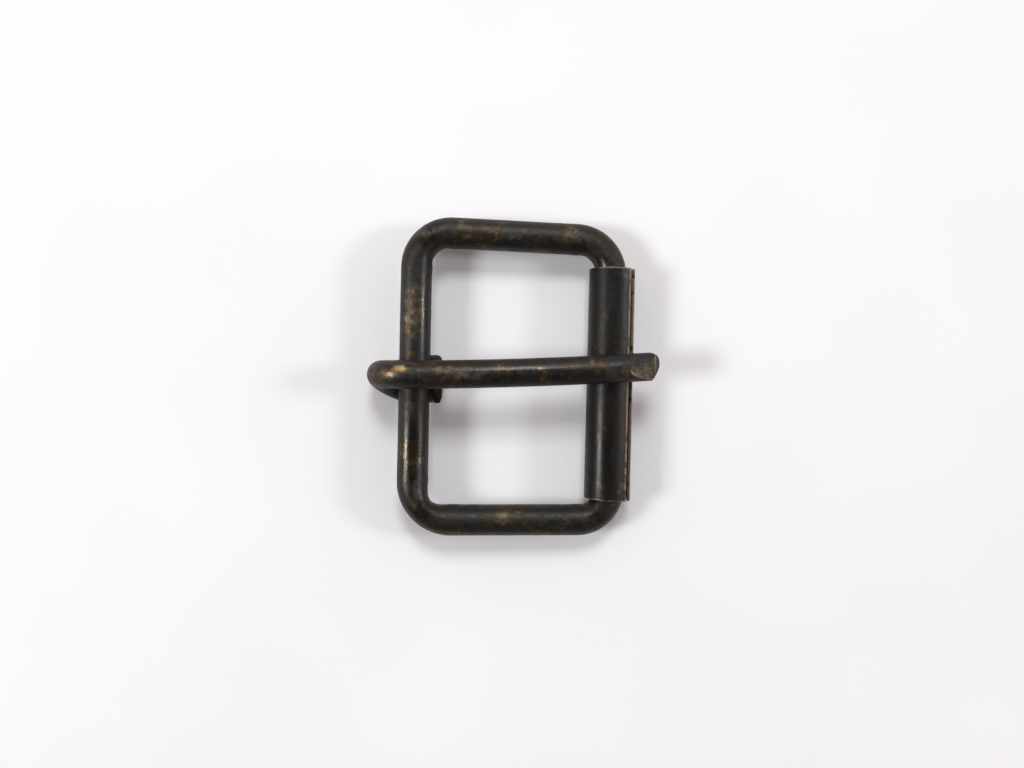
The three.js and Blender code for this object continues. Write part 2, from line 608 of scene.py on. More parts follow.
class GeometryTree:
    """A Geometry Nodes tree with named inputs, which is run once on a mesh."""

    def __init__(self, name: str) -> None:
        """Starts an empty tree.

        Args:
            name: the tree's name.
        """
        self.group = bpy.data.node_groups.new(name, "GeometryNodeTree")
        self.group.interface.new_socket("Geometry", in_out="INPUT", socket_type="NodeSocketGeometry")
        self.group.interface.new_socket("Geometry", in_out="OUTPUT", socket_type="NodeSocketGeometry")
        self.nodes = Nodes(self.group)
        self.values: dict[str, object] = {}

    def declare(self, sizes: dict[str, tuple[str, object]]) -> dict[str, Socket]:
        """Args:
            sizes: each input's socket type and value, by name.

        Returns:
            The sockets inside the tree, by name.
        """
        for name, (kind, value) in sizes.items():
            socket = self.group.interface.new_socket(name, in_out="INPUT", socket_type=f"NodeSocket{kind}")
            self.values[socket.identifier] = value
        entry = self.nodes.add("NodeGroupInput")
        return {socket.name: socket for socket in entry.outputs if socket.name}

    def unevenness(self, sockets: dict[str, Socket], detail: float) -> Socket:
        """Low random waves over the surface, from the tree's inputs for them.

        Args:
            sockets: the tree's inputs.
            detail: how many finer octaves the waves have.

        Returns:
            The height's socket, in metres.
        """
        place = self.nodes.add("GeometryNodeInputPosition").outputs[0]
        inputs = {"Vector": place, "W": sockets["Seed"], "Scale": sockets["Waves per metre"], "Detail": detail}
        noise = self.nodes.add("ShaderNodeTexNoise", {"noise_dimensions": "4D"}, inputs).outputs[0]
        return self.nodes.centred(noise, sockets["Unevenness"])

    def close(self, geometry: Socket, material: Socket) -> None:
        """Ends the tree: real geometry, smooth, in its material.

        Args:
            geometry: the last geometry socket.
            material: the material input's socket.
        """
        real = self.nodes.add("GeometryNodeRealizeInstances", inputs={"Geometry": geometry}).outputs[0]
        smooth = self.nodes.add("GeometryNodeSetShadeSmooth", inputs={"Geometry": real}).outputs[0]
        dressed = self.nodes.add("GeometryNodeSetMaterial", inputs={"Geometry": smooth, "Material": material})
        self.nodes.add("NodeGroupOutput", inputs={0: dressed.outputs[0]})

    def run(self, mesh: bpy.types.Mesh) -> bpy.types.Mesh:
        """Runs the tree on a mesh.

        Args:
            mesh: what enters by the tree's geometry input.

        Returns:
            A plain mesh.
        """
        carrier = add_object(self.group.name, mesh)
        modifier = carrier.modifiers.new(self.group.name, "NODES")
        modifier.node_group = self.group
        for identifier, value in self.values.items():
            modifier[identifier] = value
        graph = bpy.context.evaluated_depsgraph_get()
        graph.update()
        evaluated = carrier.evaluated_get(graph)
        result = bpy.data.meshes.new_from_object(evaluated, preserve_all_data_layers=True, depsgraph=graph)
        carrier.modifiers.remove(modifier)
        bpy.data.objects.remove(carrier)
        return result


# ------------------------------------------------------------------------------------------- the bent wire


@dataclass(frozen=True)
class BentWire:
    """The frame: one wire bent to a rounded rectangle, its ends meeting inside the sleeve. Sizes in millimetres.

    Drift, bend radii and inner thinning are for the four corners in turn, from the roller bar's +Y end.
    """

    finish: AntiqueBrass
    spacing: float
    strap_width: float = 25.4
    diameter: float = 3.1
    side_taper: float = 0.35
    corner_drift: tuple[tuple[float, float], ...] = ((-0.12, 0.10), (0.0, 0.28), (0.0, -0.10), (0.12, -0.12))
    bend_radii: tuple[float, float, float, float] = (3.6, 3.5, 3.85, 3.2)
    inner_thinning: tuple[float, float, float, float] = (0.12, 0.12, 0.6, 0.1)
    tool_mark: float = 0.04
    tool_length: float = 0.7
    butt_gap: float = 0.2
    step: float = 0.2
    sides: int = 56
    inner_power: float = 2.5
    unevenness: float = 0.05
    unevenness_size: float = 2.2
    rubs: tuple[WearMark, ...] = ()
    polishes: tuple[WearMark, ...] = ()

    def corners(self) -> list[Vector]:
        """Where the axes of the straights would meet.

        Returns:
            The four places, in turn from the roller bar's +Y end.
        """
        heel = (self.strap_width + self.diameter) / 2
        roller = heel - self.side_taper
        span = self.spacing
        square = ((span, roller), (0.0, heel), (0.0, -heel), (span, -roller))
        return [Vector(place) + Vector(drift) for place, drift in zip(square, self.corner_drift)]

    def path(self) -> tuple[np.ndarray, np.ndarray, np.ndarray]:
        """The wire's axis.

        Returns:
            Its points, the direction to the inside of the frame at each, and how far the inner side swells there.
        """
        corners = self.corners()
        start = Vector((self.spacing, self.butt_gap / 2))
        end = Vector((self.spacing, -self.butt_gap / 2))
        stops = [start, *corners, end]
        ways = [(after - before).normalized() for before, after in zip(stops, stops[1:])]
        points, inward, swell = [], [], []

        def lay(point: Vector, way: Vector, amount: float) -> None:
            """Adds one point of the axis.

            Args:
                point: where it is.
                way: where the wire heads there.
                amount: how far the inner side swells there.
            """
            points.append((point.x, point.y, 0.0))
            inward.append((-way.y, way.x, 0.0))
            swell.append(amount)

        def tool(away: float) -> float:
            """The mark that the bending tool leaves at the end of a bend."""
            return self.tool_mark * math.exp(-((away / self.tool_length) ** 2))

        last = start
        bends = zip(corners, self.bend_radii, self.inner_thinning, ways, ways[1:])
        for corner, radius, thinning, way, following in bends:
            turn = -way.angle_signed(following)
            bend_start = corner - way * radius * math.tan(turn / 2)
            straight = (bend_start - last).length
            count = max(2, round(straight / self.step))
            for index in range(count):
                done = straight * index / count
                lay(last.lerp(bend_start, index / count), way, tool(straight - done) + (tool(done) if points else 0.0))
            left = Vector((-way.y, way.x))
            centre = bend_start + left * radius
            inner = radius - self.diameter / 2
            count = max(8, round(radius * turn / self.step))
            for index in range(count):
                angle = turn * index / count
                nearest = min(angle, turn - angle)
                drawn_in = thinning * math.tanh(inner * (1 / math.cos(nearest) - 1) / thinning)
                spin = Matrix.Rotation(angle, 2)
                lay(centre + spin @ (left * -radius), spin @ way, tool(nearest * radius) - drawn_in)
            last = centre + Matrix.Rotation(turn, 2) @ (left * -radius)
        count = max(2, round((end - last).length / self.step))
        for index in range(count + 1):
            share = index / count
            lay(last.lerp(end, share), ways[-1], tool((end - last).length * share))
        return np.array(points), np.array(inward), np.array(swell)

    def tree(self, material: bpy.types.Material) -> GeometryTree:
        """The tree that gives the axis its round section, its crushed bends and its unevenness.

        Args:
            material: the wire's finish.

        Returns:
            The tree.
        """
        tree = GeometryTree("bent_wire")
        sockets = tree.declare(
            {
                "Wire radius": ("Float", self.diameter / 2 * MM),
                "Sides": ("Int", self.sides),
                "Unevenness": ("Float", self.unevenness * MM),
                "Waves per metre": ("Float", 1.0 / (self.unevenness_size * MM)),
                "Seed": ("Float", self.finish.seed),
                "Material": ("Material", material),
            }
        )
        nodes = tree.nodes
        curve = nodes.add("GeometryNodeMeshToCurve", inputs={"Mesh": sockets["Geometry"]}).outputs[0]
        length = nodes.add("GeometryNodeSplineParameter").outputs["Length"]
        curve, along = nodes.capture(curve, length, "FLOAT")
        ring_inputs = {"Resolution": sockets["Sides"], "Radius": sockets["Wire radius"]}
        ring = nodes.add("GeometryNodeCurvePrimitiveCircle", inputs=ring_inputs).outputs["Curve"]
        ring, around = nodes.capture(ring, nodes.add("GeometryNodeInputPosition").outputs[0], "VECTOR")
        sweep_inputs = {"Curve": curve, "Profile Curve": ring, "Fill Caps": True}
        wire = nodes.add("GeometryNodeCurveToMesh", inputs=sweep_inputs).outputs[0]

        across = nodes.add("ShaderNodeSeparateXYZ", inputs={0: around}).outputs
        wire = nodes.store(wire, Attribute.DRAWN, nodes.vector(along, across[0], across[1]), "FLOAT_VECTOR")
        normal = nodes.add("GeometryNodeInputNormal").outputs[0]
        inward = nodes.named(Attribute.INWARD, "FLOAT_VECTOR")
        facing = nodes.vector_math("DOT_PRODUCT", {0: normal, 1: inward}).outputs["Value"]
        inner = nodes.math("POWER", nodes.math("MAXIMUM", facing, 0.0), self.inner_power)
        swell = nodes.math("MULTIPLY", inner, nodes.named(Attribute.SWELL))
        height = nodes.math("ADD", swell, tree.unevenness(sockets, 3.0))
        offset = nodes.vector_math("SCALE", {0: normal, "Scale": height}).outputs[0]
        moved = nodes.add("GeometryNodeSetPosition", inputs={"Geometry": wire, "Offset": offset})
        tree.close(moved.outputs[0], sockets["Material"])
        return tree

    def build(self, layout: Layout) -> bpy.types.Object:
        """Makes the piece.

        Args:
            layout: where the bars lie.

        Returns:
            The piece.
        """
        points, inward, swell = self.path()
        axis = chain("wire_axis", points)
        set_attribute(axis, Attribute.INWARD, inward)
        set_attribute(axis, Attribute.SWELL, swell * MM)
        mesh = self.tree(self.finish.material()).run(axis)
        mark(mesh, self.rubs, self.polishes)
        mesh.transform(layout.placed)
        return finish_piece("bent_wire", mesh, Body.FRAME, "wire_frame")


# ------------------------------------------------------------------------------------------- the sleeve


@dataclass(frozen=True)
class RolledSleeve:
    """The sleeve: sheet rolled until its two lips nearly meet. Sizes in millimetres, angles in degrees.

    The outer surface is a chain of arcs. Each holds a radius and the angles, from +X, of its first and last normals.
    The first lip is flat with its end curled down, and the second stands up beside it. The second flares towards
    the near end, more and more between two distances travelled round the section. The first lip's band, worn metal
    and a painted highlight, holds how far from the lip it lies and how wide it is. The second lip's band is worn metal
    and holds its width. The ends' band, worn metal and a painted highlight, is a share of the length.
    """

    finish: AntiqueBrass
    spacing: float
    wall: float = 0.32
    arcs: tuple[tuple[float, float, float], ...] = (
        (0.62, 30.0, 60.0),
        (3.2, 60.0, 84.0),
        (2.26, 84.0, 350.0),
        (3.2, 350.0, 376.0),
    )
    round_arc: int = 2
    middle: tuple[float, float] = (-0.04, 0.0)
    height_ratio: float = 1.0257
    ends: tuple[float, float] = (-11.92, 11.17)
    end_slant: float = 0.03
    skew: float = 0.3
    lip_flare: float = 0.04
    flared: tuple[float, float] = (9.5, 15.0)
    unevenness: float = 0.03
    unevenness_size: float = 3.571428571
    # The first lip's and the ends' bands of edge tint paint a highlight as well as wear.
    first_lip_highlight_and_wear: tuple[float, float] = (0.18, 0.16)
    second_lip_wear: float = 0.3
    end_highlight_and_wear_share: float = 0.010
    edge_rounding: float = 0.07
    step: float = 0.09
    stations: int = 110
    rubs: tuple[WearMark, ...] = ()
    polishes: tuple[WearMark, ...] = ()

    def section(self) -> tuple[np.ndarray, np.ndarray]:
        """The outer surface, cut across.

        Returns:
            Its points in the XY plane, from the first lip round to the second, and the distance travelled at each.
        """
        pieces, last = [], np.zeros(2)
        for index, (radius, begin, finish) in enumerate(self.arcs):
            count = max(4, round(radius * math.radians(finish - begin) / self.step))
            angles = np.radians(np.linspace(begin, finish, count + 1))
            arc = radius * np.stack([np.cos(angles), np.sin(angles)], axis=1)
            arc += last - arc[0]
            if index == self.round_arc:
                centre = last - radius * np.array([math.cos(angles[0]), math.sin(angles[0])])
            last = arc[-1]
            pieces.append(arc[:-1] if index < len(self.arcs) - 1 else arc)
        points = (np.concatenate(pieces) - centre) * (1.0, self.height_ratio) + self.middle
        travelled = np.cumsum(np.concatenate([[0.0], np.linalg.norm(np.diff(points, axis=0), axis=1)]))
        return points, travelled

    def tree(self, material: bpy.types.Material) -> GeometryTree:
        """The tree that sweeps the section along the bar and gives the sheet its thickness.

        Args:
            material: the sleeve's finish.

        Returns:
            The tree.
        """
        tree = GeometryTree("rolled_sleeve")
        sockets = tree.declare(
            {
                "Near end": ("Float", self.ends[0] * MM),
                "Far end": ("Float", self.ends[1] * MM),
                "Stations": ("Int", self.stations),
                "Wall": ("Float", self.wall * MM),
                "Lip flare": ("Float", self.lip_flare * MM),
                "End slant": ("Float", self.end_slant),
                "Unevenness": ("Float", self.unevenness * MM),
                "Waves per metre": ("Float", 1.0 / (self.unevenness_size * MM)),
                "Seed": ("Float", self.finish.seed),
                "Material": ("Material", material),
            }
        )
        nodes = tree.nodes
        section = nodes.add("GeometryNodeMeshToCurve", inputs={"Mesh": sockets["Geometry"]}).outputs[0]
        begin, finish = (nodes.vector(0.0, 0.0, sockets[name]) for name in ("Near end", "Far end"))
        line = nodes.add("GeometryNodeCurvePrimitiveLine", inputs={"Start": begin, "End": finish}).outputs[0]
        line = nodes.add("GeometryNodeResampleCurve", inputs={"Curve": line, "Count": sockets["Stations"]}).outputs[0]
        line, share = nodes.capture(line, nodes.add("GeometryNodeSplineParameter").outputs["Factor"], "FLOAT")
        section, flat = nodes.capture(section, nodes.add("GeometryNodeInputPosition").outputs[0], "VECTOR")
        sheet = nodes.add("GeometryNodeCurveToMesh", inputs={"Curve": line, "Profile Curve": section}).outputs[0]
        travelled = nodes.named(Attribute.TRAVELLED)

        across = nodes.add("ShaderNodeSeparateXYZ", inputs={0: flat}).outputs
        length = nodes.math("SUBTRACT", sockets["Far end"], sockets["Near end"])
        along = nodes.math("ADD", nodes.math("MULTIPLY", length, share), sockets["Near end"])
        second = nodes.ease(travelled, *(way * MM for way in self.flared))
        near = nodes.math("SUBTRACT", 1.0, share)
        flare = nodes.math("MULTIPLY", nodes.math("MULTIPLY", second, near), sockets["Lip flare"])
        slant = nodes.math("MULTIPLY", nodes.math("MULTIPLY", across[0], near), sockets["End slant"])
        uneven = tree.unevenness(sockets, 2.0)
        placed = nodes.vector(
            nodes.math("ADD", nodes.math("ADD", across[0], flare), uneven),
            nodes.math("SUBTRACT", along, slant),
            nodes.math("ADD", across[1], uneven),
        )
        # A band at both ends of the sleeve: worn metal and a painted highlight.
        end_highlight_and_wear = nodes.ease(nodes.math("MINIMUM", share, near), 0.0, self.end_highlight_and_wear_share, 1.0, 0.0)
        edge = nodes.math("MAXIMUM", nodes.named(Attribute.EDGE), end_highlight_and_wear)
        sheet = nodes.store(sheet, Attribute.DRAWN, nodes.vector(along, travelled, 0.0), "FLOAT_VECTOR")
        sheet = nodes.store(sheet, Attribute.EDGE, edge)
        sheet = nodes.add("GeometryNodeSetPosition", inputs={"Geometry": sheet, "Position": placed}).outputs[0]
        normal = nodes.add("GeometryNodeInputNormal").outputs[0]
        wall_inputs = {"Mesh": sheet, "Offset": normal, "Offset Scale": sockets["Wall"], "Individual": False}
        wall = nodes.add("GeometryNodeExtrudeMesh", {"mode": "FACES"}, wall_inputs).outputs[0]
        joined = nodes.tree.nodes.new("GeometryNodeJoinGeometry")
        for surface in (sheet, wall):
            nodes.tree.links.new(surface, joined.inputs[0])
        merge_inputs = {"Geometry": joined.outputs[0], "Distance": WELD}
        shell = nodes.add("GeometryNodeMergeByDistance", inputs=merge_inputs).outputs[0]
        tree.close(shell, sockets["Material"])
        return tree

    def build(self, layout: Layout) -> bpy.types.Object:
        """Makes the piece.

        Args:
            layout: where the bars lie.

        Returns:
            The piece.
        """
        points, travelled = self.section()
        sheet = chain("sheet_section", np.concatenate([points, np.zeros((len(points), 1))], axis=1))
        # The first lip's band is worn metal and a painted highlight; the second lip's band is worn metal.
        middle, width = self.first_lip_highlight_and_wear
        first = np.exp(-(((travelled - middle) / width) ** 2))
        second = np.clip(1.0 - (travelled[-1] - travelled) / self.second_lip_wear, 0.0, 1.0)
        set_attribute(sheet, Attribute.EDGE, np.maximum(first, second))
        set_attribute(sheet, Attribute.TRAVELLED, travelled * MM)
        mesh = self.tree(self.finish.material()).run(sheet)
        mesh.transform(Matrix.Rotation(math.radians(-self.skew), 4, "Z"))
        mesh.transform(Matrix.Translation((self.spacing * MM, 0.0, 0.0)))
        recalculate(mesh)
        mark(mesh, self.rubs, self.polishes)
        mesh.transform(layout.placed)
        piece = finish_piece("rolled_sleeve", mesh, Body.ROLLER, "roller_sleeve")
        round_edges(piece, self.edge_rounding * MM)
        return piece


def recalculate(mesh: bpy.types.Mesh) -> None:
    """Turns every face of a closed mesh outwards.

    Args:
        mesh: the mesh.
    """
    bm = bmesh.new()
    bm.from_mesh(mesh)
    bmesh.ops.recalc_face_normals(bm, faces=bm.faces)
    if bm.calc_volume(signed=True) < 0:
        bmesh.ops.reverse_faces(bm, faces=bm.faces)
    bm.to_mesh(mesh)
    bm.free()


def round_edges(piece: bpy.types.Object, width: float) -> None:
    """Rounds a piece's sharp edges.

    Args:
        piece: the piece.
        width: how far from the edge the rounding starts.
    """
    bevel = piece.modifiers.new("rounded", "BEVEL")
    bevel.width = width
    bevel.segments = 3
    bevel.limit_method = "ANGLE"
    bevel.angle_limit = math.radians(50)


# ------------------------------------------------------------------------------------------------ the prong


@dataclass(frozen=True)
class Prong:
    """The prong: wire flattened and curled round the heel bar at one end, pressed to a facet at the other.

    Sizes are in millimetres and angles in degrees round the eye, whose top, where the shank leaves, is at 90.
    Each flare, and the thinning, holds the angles at which it starts and ends. Each trim of a tail corner holds the
    share of the half width at which it starts, and an angle for how much it takes off. Each ridge of the facet holds
    its height, and how fast it runs across the shank and along it.
    """

    finish: AntiqueBrass
    spacing: float
    bar_diameter: float = 3.1
    sleeve_diameter: float = 4.64
    diameter: float = 2.75
    reach: float = 24.0
    eye_clearance: float = 0.4
    lift: float = 0.1
    tail_width: float = 4.85
    tail_thickness: float = 1.0
    tail_offset: float = -0.35
    tail_end: float = 364.0
    tail_tuck: float = 0.14
    near_flare: tuple[float, float] = (162.0, 255.0)
    far_flare: tuple[float, float] = (212.0, 272.0)
    thinning: tuple[float, float] = (188.0, 288.0)
    squareness: float = 0.45
    near_trim: tuple[float, float] = (0.45, 40.0)
    far_trim: tuple[float, float] = (0.35, 70.0)
    trim_from: float = 320.0
    side: float = 0.15
    skew: float = 0.025
    bow_radius: float = 400.0
    facet_length: float = 3.05
    facet_slope: float = 0.32
    facet_step: float = 0.16
    facet_roll: float = 0.10
    scoop_length: float = 0.15
    ridges: tuple[tuple[float, float, float], ...] = ((0.016, 9.0, 1.4), (0.012, 23.0, -1.9))
    rim_width: float = 0.09
    rim_strength: float = 0.8
    rim_span: tuple[float, float, float] = (0.62, 0.50, 0.46)
    nose_lengths: tuple[float, float] = (1.3, 0.75)
    nose_widths: tuple[float, float] = (0.36, 0.02)
    nose_power: float = 0.8
    nose_drop: float = 0.75
    nose_length: float = 0.55
    least_thickness: float = 0.04
    end_length: float = 0.25
    eye_steps: int = 110
    shank_step: float = 0.3
    tip_step: float = 0.045
    tip_lead: float = 0.2
    end_steps: int = 14
    sides: int = 96
    rubs: tuple[WearMark, ...] = ()
    polishes: tuple[WearMark, ...] = ()

    @property
    def eye_radius(self) -> float:
        """The eye's inner radius."""
        return self.bar_diameter / 2 + self.eye_clearance

    @property
    def rise(self) -> float:
        """How far the shank is turned up from the wire frame's plane, in radians."""
        return math.asin((self.sleeve_diameter / 2 + self.lift - self.eye_radius) / self.spacing)

    def stations(self) -> np.ndarray:
        """Where the sections stand, from the tail to the tip.

        Returns:
            One row for each: its angle round the eye, in radians, and its length along the shank.
        """
        eye = np.radians(np.linspace(self.tail_end, 90.0, self.eye_steps))
        tip_start = self.reach - self.facet_length - self.tip_lead
        end_start = self.reach - self.end_length
        shank = np.arange(self.shank_step, tip_start, self.shank_step)
        tip = np.arange(tip_start, end_start, self.tip_step)
        end = end_start + self.end_length * np.sin(np.linspace(0.0, math.pi / 2, self.end_steps))
        along = np.concatenate([shank, tip, end])
        return np.concatenate(
            [
                np.stack([eye, np.zeros_like(eye)], axis=1),
                np.stack([np.full_like(along, math.pi / 2), along], axis=1),
            ]
        )

    def facet_height(self, along: np.ndarray, off_axis: np.ndarray) -> np.ndarray:
        """The top surface that the tip is pressed down to, above the eye's inner radius.

        Args:
            along: lengths along the shank.
            off_axis: places across the shank.

        Returns:
            The heights.
        """
        into = along - (self.reach - self.facet_length)
        scoop = self.facet_step * (1 - np.exp(-np.maximum(into, 0.0) / self.scoop_length))
        ridges = sum(size * np.sin(off_axis * across + way * into) for size, across, way in self.ridges)
        height = self.diameter - self.facet_slope * into - scoop - self.facet_roll * off_axis + ridges
        end = self.reach - along
        drop = self.nose_drop * (1 - end / self.nose_length)
        nose = self.diameter - self.facet_slope * self.facet_length - drop
        height = np.where(end < self.nose_length, np.minimum(height, nose), height)
        return np.where(into < 0, self.diameter * 2, height)

    def opening(self, along: np.ndarray, half: np.ndarray) -> np.ndarray:
        """How far round from its bottom the section still stands, below the facet, on one side.

        Args:
            along: lengths along the shank.
            half: the section's half width there, negative on the -Y side.

        Returns:
            Angles, a quarter turn where the facet is above the section's middle.
        """
        radius = self.diameter / 2
        angle = np.full(np.broadcast(along, half).shape, math.pi / 2)
        for _ in range(6):
            height = self.facet_height(along, half * np.sin(angle))
            angle = np.arccos(np.clip(1 - height / radius, 0.0, 1.0))
        return angle

    def build(self, layout: Layout) -> bpy.types.Object:
        """Makes the piece.

        Args:
            layout: where the bars lie.

        Returns:
            The piece.
        """
        mesh = self.mesh()
        mesh.materials.append(self.finish.material())
        mesh.transform(Matrix.Rotation(-self.rise, 4, "Y"))
        mark(mesh, self.rubs, self.polishes)
        mesh.transform(layout.placed)
        points = vertex_array(mesh)
        points[:, 2] = np.maximum(points[:, 2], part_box("prong")[0].z)
        mesh.vertices.foreach_set("co", points.ravel())
        mesh.update()
        return finish_piece("prong_wire", mesh, Body.PRONG, "prong")

    def mesh(self) -> bpy.types.Mesh:
        """The prong's surface, with the heel bar's axis on the Y axis and the shank along +X.

        Returns:
            The mesh, in metres.
        """
        stations = self.stations()
        turns = (np.arange(self.sides) + 0.5) * math.tau / self.sides
        angle = stations[:, :1]
        along = stations[:, 1:]
        flatness = eased(np.degrees(angle), *self.thinning)
        power = 1 - self.squareness * flatness
        across = np.sign(np.cos(turns)) * np.abs(np.cos(turns)) ** power
        upward = np.sign(np.sin(turns)) * np.abs(np.sin(turns)) ** power
        thickness = self.diameter + (self.tail_thickness - self.diameter) * flatness

        left = self.nose_half_width(self.reach - along, 0)
        right = self.nose_half_width(self.reach - along, 1)
        opening = np.where(np.cos(turns) > 0, self.opening(along, left), self.opening(along, -right))
        from_bottom = np.abs(turns - math.pi * 1.5) * opening / (math.pi / 2)
        low = (turns > math.pi) & (along > 0)
        upper = across * np.where(along > 0, np.sin(opening), 1.0)
        across = np.where(low, np.sign(across) * np.sin(from_bottom), upper)
        upward = np.where(low, -np.cos(from_bottom), upward)
        near, far = (
            self.diameter / 2 + ((self.tail_width - self.diameter) / 2 + way * self.tail_offset) * grown
            for way, grown in (
                (-1, eased(np.degrees(angle), *self.near_flare)),
                (1, eased(np.degrees(angle), *self.far_flare)),
            )
        )
        half = np.where(along > 0, np.where(across > 0, left, right), np.where(across > 0, far, near))
        middle = self.side + self.skew * along + along**2 / (2 * self.bow_radius)
        off_axis = across * half
        height = (1 + upward) * thickness / 2
        facet = self.facet_height(along, off_axis)
        rim = np.exp(-(((height - facet) / self.rim_width) ** 2)) * eased(-off_axis, 0.0, 0.5)
        nose_rim, nose_full, nose_end = (self.reach - length for length in self.rim_span)
        rim = np.maximum(rim, self.rim_strength * eased(along, nose_rim, nose_full)) * (upward > 0)
        rim = np.where(along > nose_end, 0.0, rim)
        least = self.least_thickness * (1 + upward) / 2
        height = np.where(along > 0, np.maximum(np.minimum(height, facet), least), height)

        trimmed = sum(
            np.clip(way * across - start, 0.0, 1.0) ** 2 * np.radians(amount)
            for way, (start, amount) in ((-1, self.near_trim), (1, self.far_trim))
        )
        share = np.clip((np.degrees(angle) - self.trim_from) / (self.tail_end - self.trim_from), 0.0, 1.0)
        angle = angle - trimmed * share
        reach = self.eye_radius + height - self.tail_tuck * share
        x = along + reach * np.cos(angle)
        z = reach * np.sin(angle)
        rings = np.stack([x, middle + off_axis, z], axis=2)

        count = len(stations)
        points = rings.reshape(-1, 3)
        index = np.arange(count * self.sides).reshape(count, self.sides)
        nxt = np.roll(index, -1, axis=1)
        quads = np.stack([index[:-1], nxt[:-1], nxt[1:], index[1:]], axis=2).reshape(-1, 4)
        caps = [
            (ring[k], ring[k + 1], ring[-k - 2], ring[-k - 1])
            for ring in index[[0, -1]].tolist()
            for k in range(self.sides // 2 - 1)
        ]
        faces = quads.tolist() + caps
        mesh = bpy.data.meshes.new("prong_wire")
        mesh.from_pydata((points * MM).tolist(), [], faces)
        mesh.shade_smooth()

        travelled = np.cumsum(np.concatenate([[0.0], np.linalg.norm(np.diff(rings.mean(axis=1), axis=0), axis=1)]))
        travelled = np.broadcast_to(travelled[:, None], off_axis.shape)
        drawn = np.stack([travelled, off_axis, height - thickness / 2], axis=2)
        set_attribute(mesh, Attribute.DRAWN, drawn.reshape(-1, 3) * MM)
        set_attribute(mesh, Attribute.EDGE, np.broadcast_to(rim, off_axis.shape).ravel())
        recalculate(mesh)
        mesh.set_sharp_from_angle(angle=math.radians(55))
        return mesh

    def nose_half_width(self, to_end: np.ndarray, side: int) -> np.ndarray:
        """Half the shank's width on one side of its axis, which falls away at the tip.

        Args:
            to_end: distances to the very end.
            side: 0 for the +Y side, 1 for the -Y side.

        Returns:
            The half widths.
        """
        radius = self.diameter / 2
        share = np.clip(to_end / self.nose_lengths[side], 0.0, 1.0)
        end = self.nose_widths[side]
        grown = np.sqrt(1 - (1 - share) ** 2) if side == 0 else share**self.nose_power
        return end + (radius - end) * grown


# -------------------------------------------------------------------------------------------------- the set


@dataclass(frozen=True)
class SoftBox:
    """A square light, aimed at the buckle. Angles in degrees, sizes in metres, power in watts.

    It lies in the direction `toward`, measured from +X towards +Y.
    """

    name: str
    toward: float
    from_vertical: float
    size: float
    power: float
    tint: Colour = (1.0, 1.0, 1.0)
    distance: float = 0.55

    def place(self) -> None:
        """Adds the light."""
        data = bpy.data.lights.new(self.name, "AREA")
        data.shape = "SQUARE"
        data.size = self.size
        data.energy = self.power
        data.color = self.tint
        light = add_object(self.name, data)
        turn = math.radians(self.toward)
        tilt = math.radians(self.from_vertical)
        way = Vector((math.cos(turn) * math.sin(tilt), math.sin(turn) * math.sin(tilt), math.cos(tilt)))
        light.location = way * self.distance
        light.rotation_euler = way.to_track_quat("Z", "Y").to_euler()


@dataclass(frozen=True)
class Studio:
    """The floor, the lights and the camera, which looks straight down from close above.

    Sizes are in millimetres and the camera's turn in degrees. Each fade of the room's tones holds the two values of
    a direction's Y, or Z, between which one tone passes into another.
    """

    camera_height: float = 95.0
    camera_x: float = 0.123
    camera_y: float = -0.557
    camera_turn: float = 1.15
    sensor_width: float = 36.0
    focal_length: float = 32.34375
    floor_half: float = 1500.0
    floor_drop: float = 0.02
    overhead: Colour = (0.17, 0.142, 0.135)
    around: Colour = (0.81, 0.69, 0.665)
    near_side: Colour = (0.16, 0.125, 0.118)
    near_fade: tuple[float, float] = (-0.65, 0.0)
    overhead_fade: tuple[float, float] = (0.62, 0.93)
    lights: tuple[SoftBox, ...] = (
        SoftBox("far_light", 88.0, 36.0, 0.14, 1.30, (0.93, 1.0, 1.01)),
        SoftBox("left_light", 186.0, 49.0, 0.12, 1.35, (0.93, 1.0, 1.01)),
        SoftBox("right_light", 5.0, 59.0, 0.09, 0.80, (0.92, 1.0, 1.04)),
    )

    def build(self) -> None:
        """Adds everything."""
        self.place_camera()
        sheet = bpy.data.meshes.new("floor")
        half = self.floor_half * MM
        corners = [(-half, -half, 0), (half, -half, 0), (half, half, 0), (-half, half, 0)]
        sheet.from_pydata(corners, [], [(0, 1, 2, 3)])
        sheet.materials.append(Paper().material())
        floor = add_object("floor", sheet)
        floor.location.z = -self.floor_drop * MM
        for light in self.lights:
            light.place()
        self.light_room()
        bpy.context.scene.view_settings.view_transform = "Standard"

    def light_room(self) -> None:
        """Adds the room's own light: dim overhead and on the near side, pale on the other three."""
        world = bpy.data.worlds.new("studio")
        world.use_nodes = True
        world.node_tree.nodes.clear()
        nodes = Nodes(world.node_tree)
        way = nodes.add("ShaderNodeTexCoord").outputs["Generated"]
        parts = nodes.add("ShaderNodeSeparateXYZ", inputs={0: way})
        colour = nodes.blend(nodes.ease(parts.outputs[1], *self.near_fade), self.near_side, self.around)
        colour = nodes.blend(nodes.ease(parts.outputs[2], *self.overhead_fade), colour, self.overhead)
        background = nodes.add("ShaderNodeBackground", inputs={"Color": colour, "Strength": 1.0})
        nodes.add("ShaderNodeOutputWorld", inputs={"Surface": background.outputs[0]})
        bpy.context.scene.world = world

    def place_camera(self) -> None:
        """Adds the camera."""
        data = bpy.data.cameras.new("camera")
        data.sensor_width = self.sensor_width
        data.lens = self.focal_length
        data.clip_start = 0.002
        data.clip_end = 10.0
        camera = add_object("camera", data)
        camera.location = Vector((self.camera_x, self.camera_y, self.camera_height)) * MM
        camera.rotation_euler = (0.0, 0.0, math.radians(self.camera_turn))
        bpy.context.scene.camera = camera


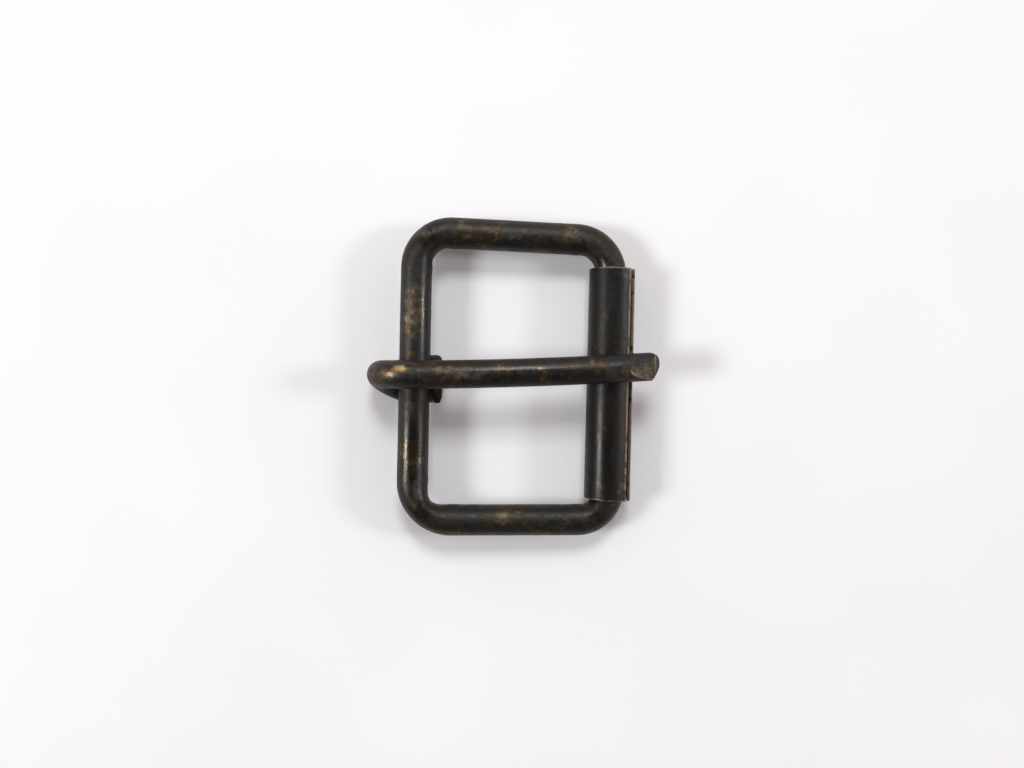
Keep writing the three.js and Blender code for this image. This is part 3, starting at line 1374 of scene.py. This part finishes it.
FRAME_RUBS_AND_HIGHLIGHT = (
    WearMark(-0.5, 5.3, 1.2, 2.6, 0.42),
    WearMark(-0.3, 8.5, 1.2, 2.5, 0.25),
    # Rubbed brass on the top-left bend, which is also a painted highlight there.
    WearMark(0.5, 14.1, 0.9, 0.45, 0.7),
    WearMark(9.0, 14.2, 2.6, 0.7, 0.28),
    WearMark(15.6, 14.0, 2.0, 0.6, 0.30),
    WearMark(0.8, -8.2, 0.5, 0.6, 0.55),
    WearMark(0.4, -11.6, 0.5, 2.2, 0.42),
    WearMark(-0.4, -2.8, 0.8, 1.0, 0.25),
    WearMark(15.0, -14.0, 2.4, 0.7, 0.15),
)
FRAME_POLISHES = (
    WearMark(0.0, -7.5, 1.8, 4.2, 1.0),
    WearMark(0.9, 6.5, 0.5, 6.0, 0.8),
    WearMark(0.9, 13.8, 1.2, 0.9, 1.1),
    WearMark(1.0, -13.2, 1.4, 1.4, 0.8),
    WearMark(18.3, 11.6, 0.9, 1.2, 1.0),
    WearMark(18.3, -13.0, 0.9, 0.9, 1.0),
)
SLEEVE_RUBS = (
    WearMark(20.9, 10.4, 0.9, 0.8, 0.42),
    WearMark(18.9, 6.0, 0.6, 3.0, 0.22),
)
SLEEVE_POLISHES = (WearMark(18.2, -7.0, 1.6, 6.5, 0.7),)
PRONG_RUBS = (
    WearMark(-1.1, 0.75, 0.8, 0.4, 1.15),
    WearMark(-2.2, 0.15, 0.6, 0.4, 0.50),
    WearMark(-2.9, 0.0, 1.2, 1.1, 0.34),
    WearMark(4.4, 0.2, 2.4, 0.6, 0.45),
    WearMark(10.5, 0.5, 5.5, 0.35, 0.25),
    WearMark(19.8, 0.6, 1.8, 0.7, 0.45),
    WearMark(22.6, 1.0, 1.3, 1.1, 0.38),
)
PRONG_POLISHES = (
    WearMark(11.0, 0.8, 9.0, 1.2, 0.65),
    WearMark(-1.8, 0.5, 1.2, 1.0, 0.6),
)


def main() -> None:
    """Builds the buckle and the set round it."""
    logging.basicConfig(level=logging.INFO, format="%(name)s: %(message)s")
    Studio().build()
    layout = Layout.from_joints(frame["joints"])
    spacing = layout.spacing / MM
    frame_finish = AntiqueBrass("frame_antique_brass", seed=1.0)
    sleeve_finish = AntiqueBrass(
        "sleeve_antique_brass",
        seed=21.0,
        dark=(0.0048, 0.0050, 0.0044),
        warm=(0.022, 0.017, 0.014),
        olive=(0.070, 0.052, 0.040),
        # Edge tint: worn metal, and a painted highlight on the near lip and the ends.
        edge_tint=(0.24, 0.18, 0.125),
        copper=(0.045, 0.032, 0.028),
        dark_share=0.53,
        blotch_size=3.2,
        dull=(0.38, 0.50),
        polished=0.25,
        metal=(0.55, 0.85),
        pit_depth=0.008,
        line_depth=0.005,
    )
    prong_finish = AntiqueBrass("prong_antique_brass", seed=43.0, blotch_size=2.0)
    BentWire(frame_finish, spacing, rubs=FRAME_RUBS_AND_HIGHLIGHT, polishes=FRAME_POLISHES).build(layout)
    RolledSleeve(sleeve_finish, spacing, rubs=SLEEVE_RUBS, polishes=SLEEVE_POLISHES).build(layout)
    Prong(prong_finish, spacing, rubs=PRONG_RUBS, polishes=PRONG_POLISHES).build(layout)


if __name__ == "__main__":
    main()
